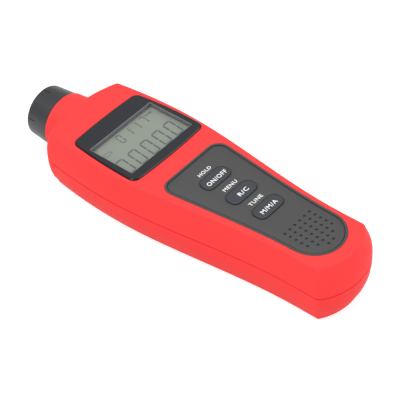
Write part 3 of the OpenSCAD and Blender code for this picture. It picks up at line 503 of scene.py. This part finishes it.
# Half width that eases from grip to head: smoothstep t*t*(3-2t) of the place along the length
def easedHalf(y, headHalf, gripHalf):
    t = np.clip((y - casing["gripAt"]) / (casing["widestAt"] - casing["gripAt"]), 0, 1)
    return gripHalf + (headHalf - gripHalf) * t * t * (3 - 2 * t)


# Outline of the casing at the parting line, shrunk by an inset: front arc, corner, side arc,
# eased flank, corner, tail arc
def casingLoop(inset):
    c = casing
    arcs, corners = c["arcCount"], c["cornerCount"]
    hw, gw = c["headWidth"] / 2 - inset, c["gripWidth"] / 2 - inset
    frontR, tailR = c["frontRadius"] - inset, c["tailRadius"] - inset
    cornerR, heelR = c["frontCorner"] - inset, c["tailCorner"] - inset
    frontC, sideC = (0, c["frontEnd"] - c["frontRadius"]), (hw - c["sideRadius"], c["widestAt"])
    tailC = (0, c["tailEnd"] + c["tailRadius"])
    corner = meetCircles(sideC, c["sideRadius"] - cornerR, frontC, frontR - cornerR)
    heel = (gw - heelR, tailC[1] - np.sqrt((tailR - heelR) ** 2 - (gw - heelR) ** 2))
    y = np.linspace(c["widestAt"], c["gripAt"], c["flankCount"])
    return wholeLoop([
        arcPoints(frontC, frontR, 90, bearing(frontC, corner), arcs),
        arcPoints(corner, cornerR, bearing(frontC, corner), bearing(sideC, corner), corners),
        arcPoints(sideC, c["sideRadius"], bearing(sideC, corner), 0, arcs),
        np.column_stack([easedHalf(y, hw, gw), y]),
        arcPoints(heel, heelR, 0, bearing(tailC, heel), corners),
        arcPoints(tailC, tailR, bearing(tailC, heel), -90, arcs)])


smoothCopy("upperShell", "front_housing", "housing", "red_shell")
smoothCopy("lowerShell", "rear_housing", "housing", "red_shell")
smoothCopy("batteryCover", "battery_cover", "battery_cover", "red_shell")
smoothCopy("noseCap", "sensor_cap", "housing", "cap_plastic")
print("casing and cap made")

# Parting line: painted shade, a dark red band at the foot of the groove between the shells, where
# shadow falls
partingShadowBand = {"bevel": 0.25, "inset": 0.06, "slack": 0.01}


# Three-sided band of painted shade round the casing: two rows at the inset, as far above and below
# the parting line as the groove is deep there, and one row at the groove's foot
def makePartingShadowBand(plan):
    z, foot = casing["partingHeight"], plan["bevel"] - plan["slack"]
    h = foot - plan["inset"]
    section = [(plan["inset"], z - h), (plan["inset"], z + h), (foot, z)]
    surfacePiece("partingShadowBand", ringPatches(casingLoop, section), "partingPaintedShade", "housing", "red_shell")


makePartingShadowBand(partingShadowBand)
print("parting line made")

# Display frame: a bevelled shoulder outside, a view opening inside, and the pane in it
displayFrame = {
    "noseEnd": 52.4, "keyEnd": 11.0, "width": 46.9, "wideAt": 6.5, "sideRadius": 250.0,
    "endRadius": 300.0, "cornerRadius": 3.6, "seat": 31.8, "top": 33.4,
    "shoulder": 0.5, "shoulderDrop": 0.4,
    "viewWidth": 40.1, "viewStart": 16.4, "viewLength": 25.4, "viewCorner": 0.3,
    "edgeWidth": 0.2, "lipFoot": 33.22, "surroundWall": 0.34,
    "paneTop": 33.0, "paneBevel": 0.1, "slack": 0.01,
    "arcCount": 12, "sideCount": 24, "viewCounts": (12, 12, 24),
}


# Outline of the frame: nose arc, corner, side arc, corner, key arc, grown by an offset
def frameLoop(offset):
    f = displayFrame
    y1, y0, r = f["noseEnd"] + offset, f["keyEnd"] - offset, f["cornerRadius"] + offset
    sideR, endR, arcs = f["sideRadius"], f["endRadius"], f["arcCount"]
    sideC = (f["width"] / 2 + offset - sideR, f["keyEnd"] + f["wideAt"])
    noseC, keyC = (0, y1 - endR), (0, y0 + endR)
    top = meetCircles(sideC, sideR - r, noseC, endR - r)
    low = meetCircles(keyC, endR - r, sideC, sideR - r)
    return wholeLoop([
        arcPoints(noseC, endR, 90, bearing(noseC, top), arcs),
        arcPoints(top, r, bearing(noseC, top), bearing(sideC, top), arcs),
        arcPoints(sideC, sideR, bearing(sideC, top), bearing(sideC, low), f["sideCount"]),
        arcPoints(low, r, bearing(sideC, low), bearing(keyC, low), arcs),
        arcPoints(keyC, endR, bearing(keyC, low), -90, arcs)])


# View opening: a rounded bar, grown by an offset
def viewLoop(offset):
    f = displayFrame
    middle = (0, f["viewStart"] + f["viewLength"] / 2)
    return barLoop(f["viewWidth"], f["viewLength"], f["viewCorner"], middle, offset, f["viewCounts"])


# Slab in the view opening: a wall up to a bevel, closed below and above
def viewSlab(low, top, slack, bevel):
    return solidPatches(viewLoop, [(-slack, low), (-slack, top - bevel), (-slack - bevel, top)])


# Three rings of one section each, the frame, the pane's edge in a pale grey that is partly a painted
# highlight, and the surround under it in a grey lighter than the holder's as painted light, and the
# pane as a slab within them
def makeDisplayFrame(f):
    seat, top, foot = f["seat"], f["top"], f["lipFoot"]
    edge, wall, slack = f["edgeWidth"], f["surroundWall"], f["slack"]
    outside = [(0.0, seat), (0.0, top - f["shoulderDrop"]), (-f["shoulder"], top)]
    inside = [(edge, top), (edge, foot), (wall, foot), (wall, seat)]
    rows = profileRows(frameLoop, outside) + profileRows(viewLoop, inside)
    surfacePiece("displayFrame", [gridPatch(rows, ring=True)], "bezelBlack",
                 "housing", "bezel_plastic", "display_bezel", sharp=32)
    # The pane's edge: a pale ring, partly a painted highlight along the view opening
    rimOuter, rimFoot, rimTop, rimBevel = edge - slack, foot + slack, top - slack, edge / 3
    rim = [(rimOuter, rimFoot), (rimOuter, rimTop), (rimBevel, rimTop), (0.0, top - rimBevel),
           (0.0, rimFoot)]
    surfacePiece("paneEdgeHighlight", ringPatches(viewLoop, rim), "paneEdgeHighlight", "housing", "window_glass")
    # The surround: painted light, a grey lighter than the holder's on the upper part of the opening's
    # wall
    sleeve = [(wall - slack, seat), (wall - slack, foot), (0.0, foot), (0.0, seat)]
    surfacePiece("viewSurround", ringPatches(viewLoop, sleeve), "surroundLitGrey",
                 "housing", "holder_plastic")
    surfacePiece("displayPane", viewSlab(seat + slack, f["paneTop"], slack, f["paneBevel"]),
                 "windowGlass", "housing", "window_glass", "display_window", sharp=20)


makeDisplayFrame(displayFrame)
print("display frame made")

# Keypad: raised rim, groove, field with key recesses and chamfered sound holes
keypad = {
    "displayEnd": 1.25, "tailEnd": -82.8, "headInset": 6.35, "gripInset": 5.05,
    "cornerRadius": 6.0, "endCount": 8, "cornerCount": 16, "flankCount": 40, "tailCount": 30,
    "seat": 31.7, "rimTop": 32.9, "rimRound": 0.3, "rimSteps": 5, "rimWidth": 1.1,
    "grooveWidth": 0.45, "grooveFloor": 32.05, "field": 32.45, "fieldRound": 0.1, "fieldSteps": 3,
    "keys": [-14.44, -29.17, -43.89], "keyLength": 15.5, "keyWidth": 7.3, "keyCorner": 2.9,
    "keyCounts": (5, 7, 4), "recess": 0.7, "recessFloor": 32.1, "recessRound": 0.15,
    "recessSteps": 6, "keyGap": 0.2, "sleeve": 0.04, "sleeveFoot": 30.65,
    "holeRows": [6, 6, 6, 6, 6, 4, 2], "holePitch": (3.33, 2.98), "lastRow": -77.4,
    "holeRadius": 0.65, "holeChamfer": 0.12, "holeCount": 16,
}


# Outline of the keypad, grown by an offset: straight display end, corner, eased flank and round
# tail end. The corner leans with the flank's slope over one millimetre.
def keypadLoop(offset):
    k = keypad
    headHalf = casing["headWidth"] / 2 - k["headInset"]
    gripHalf = casing["gripWidth"] / 2 - k["gripInset"]
    half = partial(easedHalf, headHalf=headHalf, gripHalf=gripHalf)
    endR, r = gripHalf + offset, k["cornerRadius"] + offset
    endC = (0, k["tailEnd"] - offset + endR)
    endY = k["displayEnd"] + offset
    cornerY = endY - r
    tilt = np.arctan(half(cornerY + 0.5) - half(cornerY - 0.5))
    sideTop = cornerY - r * np.sin(tilt)
    corner = (half(sideTop) + offset - r * np.cos(tilt), cornerY)
    y = np.linspace(sideTop, max(endC[1], casing["gripAt"]), k["flankCount"])
    return wholeLoop([
        linePoints((0, endY), (corner[0], endY), k["endCount"]),
        arcPoints(corner, r, 90, -np.degrees(tilt), k["cornerCount"]),
        np.column_stack([half(y) + offset, y]),
        arcPoints(endC, endR, 0, -90, k["tailCount"])])


# Key outline at a place along the keypad: a rounded bar, grown by an offset
def keyLoop(keyY, offset):
    k = keypad
    return barLoop(k["keyLength"], k["keyWidth"], k["keyCorner"], (0, keyY), offset, k["keyCounts"])


# Middles of the sound holes: rows one pitch apart, each centred across, the last at its place
def holePlaces(k):
    across, along = k["holePitch"]
    last = len(k["holeRows"]) - 1
    return np.concatenate([
        np.column_stack([(np.arange(n) - (n - 1) / 2) * across,
                         np.full(n, k["lastRow"] + (last - i) * along)])
        for i, n in enumerate(k["holeRows"])])


# Skins that meet edge to edge: the rim's profile round the outline, a lip, floor and sleeve round
# each key, a chamfer and wall round each hole, and flat sheets between them above and below
def makeKeypad(k):
    seat, field, floor, rim = k["seat"], k["field"], k["grooveFloor"], k["rimWidth"]
    fieldEdge = rim + k["grooveWidth"]
    roundTop = quarterRound(k["rimRound"], k["rimTop"], k["rimSteps"])
    edge = [(0.0, seat)] + [(-o, z) for o, z in roundTop] + [(-rim + o, z) for o, z in roundTop[::-1]]
    edge += [(-rim, floor), (-fieldEdge, floor)]
    edge += [(-fieldEdge - o, z) for o, z in quarterRound(k["fieldRound"], field, k["fieldSteps"])]
    patches = [gridPatch(profileRows(keypadLoop, edge))]
    lip = quarterRound(k["recessRound"], field, k["recessSteps"], k["recess"])[::-1]
    gap, sleeve = k["keyGap"], k["keyGap"] - k["sleeve"]
    recess = lip + [(k["recess"], k["recessFloor"]), (sleeve, k["recessFloor"]),
                    (sleeve, k["sleeveFoot"]), (gap, k["sleeveFoot"]), (gap, seat)]
    wide = k["holeRadius"] + k["holeChamfer"]
    hole = [(wide, field), (k["holeRadius"], field - k["holeChamfer"]), (k["holeRadius"], seat)]
    openings = [(partial(keyLoop, keyY), recess) for keyY in k["keys"]]
    openings += [(partial(circleLoop, place, k["holeCount"]), hole) for place in holePlaces(k)]
    patches += [gridPatch(profileRows(loopAt, profile)) for loopAt, profile in openings]
    fieldHoles = [loopAt(profile[0][0]) for loopAt, profile in openings]
    seatHoles = [loopAt(profile[-1][0]) for loopAt, profile in openings]
    patches.append(sheetPatch(keypadLoop(edge[-1][0]), fieldHoles, field))
    patches.append(sheetPatch(keypadLoop(0.0), seatHoles, seat, up=False))
    surfacePiece("keypad", patches, "panelGrey", "housing", "panel_plastic", "keypad_panel", sharp=35)


makeKeypad(keypad)

# Dust gauze: a disc across the foot of every sound hole
dustGauze = {"low": 31.72, "high": 31.78, "slack": 0.01}


# Each disc is a circle a slack smaller than its hole, between two heights
def makeDustGauze(plan, k):
    radius = k["holeRadius"] - plan["slack"]
    profile = [(radius, plan["low"]), (radius, plan["high"])]
    patches = []
    for place in holePlaces(k):
        patches += solidPatches(partial(circleLoop, place, k["holeCount"]), profile)
    surfacePiece("dustGauze", patches, "panelGrey", "housing", "panel_plastic")


makeDustGauze(dustGauze, keypad)
print("keypad made")

# Buttons: a flanged bar with a rounded edge and a slightly crowned top
button = {
    "foot": 29.7, "flangeTop": 30.5, "flange": 1.0, "top": 32.95, "edgeRound": 0.45,
    "crown": 0.06, "crownInset": 2.8, "steps": 6,
    "bodies": ["power_key", "menu_key", "tune_key"],
    "names": ["powerButton", "menuButton", "tuneButton"],
}


# Profile of the key outline: flange, wall, quarter round, and a crown that rises as a parabola
# from the round to the crown's inset
def makeButtons(b, k):
    edge, full, shoulder = b["edgeRound"], b["crownInset"], b["top"] - b["crown"]
    inward = np.linspace(edge, full, b["steps"])[1:]
    rise = b["crown"] * (1 - ((full - inward) / (full - edge)) ** 2)
    profile = [(b["flange"], b["foot"]), (b["flange"], b["flangeTop"]), (0.0, b["flangeTop"])]
    profile += [(-o, z) for o, z in quarterRound(edge, shoulder, b["steps"])]
    profile += list(zip(-inward, shoulder + rise))
    for name, body, keyY in zip(b["names"], b["bodies"], k["keys"]):
        patches = solidPatches(partial(keyLoop, keyY), profile)
        surfacePiece(name, patches, "keyRubber", body, "key_rubber", body)


makeButtons(button, keypad)
print("buttons made")

# Display face: the upper glass of the display, on the wider lower glass that the frame holds
displayFace = {"low": 29.5, "top": 30.9, "slack": 0.02, "bevel": 0.05}
surfacePiece("displayFace", viewSlab(**displayFace), "lcdGlass", "housing", "lcd", sharp=20)

# Display digits: hexagonal bars on the glass, up to six to a figure, leaning a little
digits = {
    "glassTop": 30.9, "thick": 0.03, "lean": 0.08, "tipGap": 0.35,
    "figures": {"0": "abcdef", "1": "bc", "7": "abc"},
    "bars": {  # ends of each bar on a box of width 1 and height 2
        "a": ((0, 2), (1, 2)), "b": ((1, 2), (1, 1)), "c": ((1, 1), (1, 0)),
        "d": ((0, 0), (1, 0)), "e": ((0, 0), (0, 1)), "f": ((0, 1), (0, 2)),
    },
    "sizes": [
        {"height": 9.8, "width": 4.2, "bar": 0.8, "base": 18.5,
         "starts": [-19.2, -11.15, -3.1, 4.85, 12.6], "shown": "00000"},
        {"height": 5.5, "width": 2.3, "bar": 0.5, "base": 34.8,
         "starts": [-6.0, -0.5, 4.65, 9.8], "shown": "0117"},
    ],
    "marks": [  # ends of loose bars, and their width: a colon and a battery outline
        (((3.1, 38.8), (3.8, 38.8)), 0.5), (((2.85, 36.5), (3.55, 36.5)), 0.5),
        (((-17.9, 34.1), (-14.0, 34.1)), 0.25), (((-17.9, 36.1), (-14.0, 36.1)), 0.25),
        (((-17.9, 34.1), (-17.9, 36.1)), 0.25), (((-14.0, 34.1), (-14.0, 36.1)), 0.25),
        (((-13.5, 34.7), (-13.5, 35.5)), 0.4),
    ],
}


# Hexagon along each bar: its two ends, drawn in by the gap, and four corners half a width in
def barHexagons(ends, width, gap):
    start, end = ends[:, 0], ends[:, 1]
    way = (end - start) / np.linalg.norm(end - start, axis=1, keepdims=True) * width / 2
    side = np.column_stack([-way[:, 1], way[:, 0]])
    start, end = start + way * gap, end - way * gap
    near, far = start + way, end - way
    return np.stack([start, near - side, far - side, end, far + side, near + side], axis=1)


# Ends of the bars of one size of figure: the box's corners scaled, set at their starts, and
# moved across by the lean times the height above the base
def figureBars(size, d):
    boxes = np.array([d["bars"][bar] for figure in size["shown"] for bar in d["figures"][figure]])
    counts = [len(d["figures"][figure]) for figure in size["shown"]]
    ends = boxes * (size["width"], size["height"] / 2)
    ends[..., 0] += np.repeat(size["starts"], counts)[:, None] + ends[..., 1] * d["lean"]
    return ends + (0, size["base"])


# Flat prisms: the hexagons at the glass and at the film's top, walls between them, lids on both
def makeDigits(d):
    hexagons = [barHexagons(figureBars(size, d), size["bar"], d["tipGap"]) for size in d["sizes"]]
    hexagons += [barHexagons(np.array([ends]), width, d["tipGap"]) for ends, width in d["marks"]]
    flat = np.concatenate(hexagons).reshape(-1, 2)
    low, high = atHeight(flat, d["glassTop"]), atHeight(flat, d["glassTop"] + d["thick"])
    foot = np.arange(len(flat)).reshape(-1, 6)
    top, beside = foot + len(flat), np.roll(foot, -1, axis=1)
    walls = np.stack([foot, beside, beside + len(flat), top], -1)
    faces = walls.reshape(-1, 4).tolist() + top.tolist() + foot[:, ::-1].tolist()
    surfacePiece("displayDigits", [(np.concatenate([low, high]), faces)], "lcdInk", "housing", "lcd")


makeDigits(digits)
print("display digits made")

# Lettering: plain words for what each key does, in a thin film of ink
lettering = {
    "film": 0.04, "bold": 0.01, "spacing": 1.12, "curveSteps": 3,
    "words": [  # word, middle across, baseline along, width, height, ground's height, body, finish
        ("HOLD", 0.5, -8.75, 7.8, 1.9, 32.45, "housing", "whiteInk"),
        ("MENU", 0.3, -23.45, 8.4, 1.9, 32.45, "housing", "whiteInk"),
        ("TUNE", 0.0, -38.0, 8.3, 1.9, 32.45, "housing", "whiteInk"),
        ("ON/OFF", 0.3, -16.2, 12.2, 2.3, 32.94, "power_key", "whiteInk"),
        ("R/C", 0.6, -30.8, 6.0, 2.3, 32.94, "menu_key", "whiteInk"),
        ("M/M/A", 0.0, -45.55, 10.0, 2.3, 32.94, "tune_key", "whiteInk"),
        ("RPM", 15.6, 38.6, 4.0, 1.2, 30.9, "housing", "lcdInk"),
    ],
    "slots": {"whiteInk": "panel_plastic", "lcdInk": "lcd"},
}


# The word's mesh is scaled from its own box to the width, the height and the film
def makeWord(index, word, middle, baseline, width, height, ground, body, finish, plan):
    curve = bpy.data.curves.new(f"word{index}", "FONT")
    curve.body = word
    curve.offset = plan["bold"]
    curve.extrude = 0.5  # any depth, scaled below
    curve.space_character = plan["spacing"]
    curve.resolution_u = plan["curveSteps"]
    draft = addObject(f"draft{index}", curve)
    graph = bpy.context.evaluated_depsgraph_get()
    mesh = bpy.data.meshes.new_from_object(draft.evaluated_get(graph))
    bpy.data.objects.remove(draft)
    bpy.data.curves.remove(curve)
    points = np.empty(len(mesh.vertices) * 3)
    mesh.vertices.foreach_get("co", points)
    points = points.reshape(-1, 3)
    low, high = points.min(axis=0), points.max(axis=0)
    points = (points - low) / (high - low) * (width, height, plan["film"])
    points = (points + (middle - width / 2, baseline, ground)) * mm
    mesh.vertices.foreach_set("co", points.ravel())
    mesh.name = f"word{index}"
    mesh.materials.clear()
    mesh.materials.append(finishes[finish])
    mesh.update()
    slot = plan["slots"][finish] if body == "housing" else "key_rubber"
    settle(addObject(f"word{index}", mesh), body, slot)


for index, row in enumerate(lettering["words"]):
    makeWord(index, *row, lettering)
print("lettering made")

# Studio: a white floor and sky, and three soft lights that face the part
studio = {
    "floorSize": 6.0, "floorSeen": 0.5, "floorGlow": 0.7, "floorBounce": 0.6, "floorRough": 0.9,
    "world": 0.62,
    "lights": [  # place (m), size (m), watts
        ((-0.5, 0.3, 1.5), 1.3, 17.0),
        ((0.9, -0.9, 0.9), 1.0, 7.0),
        ((-1.1, -1.0, 0.7), 1.0, 5.0),
    ],
}


# White floor: the camera sees a pale surface with its shadow, other rays a greyer one
def floorMaterial(plan):
    material = bpy.data.materials.new("floorWhite")
    material.use_nodes = True
    tree = material.node_tree
    seen = tree.nodes["Principled BSDF"]
    setInputs(seen, {"Base Color": (plan["floorSeen"],) * 3 + (1,), "Roughness": plan["floorRough"],
                     "Specular IOR Level": 0.0, "Emission Color": white,
                     "Emission Strength": plan["floorGlow"]})
    bounce = addNode(tree, "ShaderNodeBsdfDiffuse", Color=(plan["floorBounce"],) * 3 + (1,))
    path = addNode(tree, "ShaderNodeLightPath").outputs
    either = maths(tree, "MAXIMUM", path["Is Camera Ray"], path["Is Glossy Ray"])
    either = maths(tree, "MAXIMUM", either, path["Is Transmission Ray"])
    links = [(0, either), (1, bounce.outputs[0]), (2, seen.outputs[0])]
    mixed = addNode(tree, "ShaderNodeMixShader", links)
    tree.links.new(mixed.outputs[0], tree.nodes["Material Output"].inputs["Surface"])
    return material


# White sky: its strength is 1 for the camera, and the world's value for other rays
def makeSky(plan):
    world = bpy.data.worlds.new("studio")
    world.use_nodes = True
    tree = world.node_tree
    sky = tree.nodes["Background"]
    sky.inputs["Color"].default_value = white
    seen = addNode(tree, "ShaderNodeLightPath").outputs["Is Camera Ray"]
    tree.links.new(maths(tree, "MAXIMUM", seen, plan["world"]), sky.inputs["Strength"])
    scene.world = world


def makeStudio(plan):
    half = plan["floorSize"] / 2
    corners = [(-half, -half, 0), (half, -half, 0), (half, half, 0), (-half, half, 0)]
    mesh = bpy.data.meshes.new("floor")
    mesh.from_pydata(corners, [], [(0, 1, 2, 3)])
    mesh.materials.append(floorMaterial(plan))
    addObject("floor", mesh)
    makeSky(plan)
    for index, (place, size, watts) in enumerate(plan["lights"]):
        data = bpy.data.lights.new(f"softbox{index}", "AREA")
        data.size = size
        data.energy = watts
        lamp = addObject(f"softbox{index}", data)
        turn = (-Vector(place)).to_track_quat("-Z", "Y").to_matrix().to_4x4()
        lamp.matrix_world = Matrix.Translation(place) @ turn


makeStudio(studio)
print("studio made")
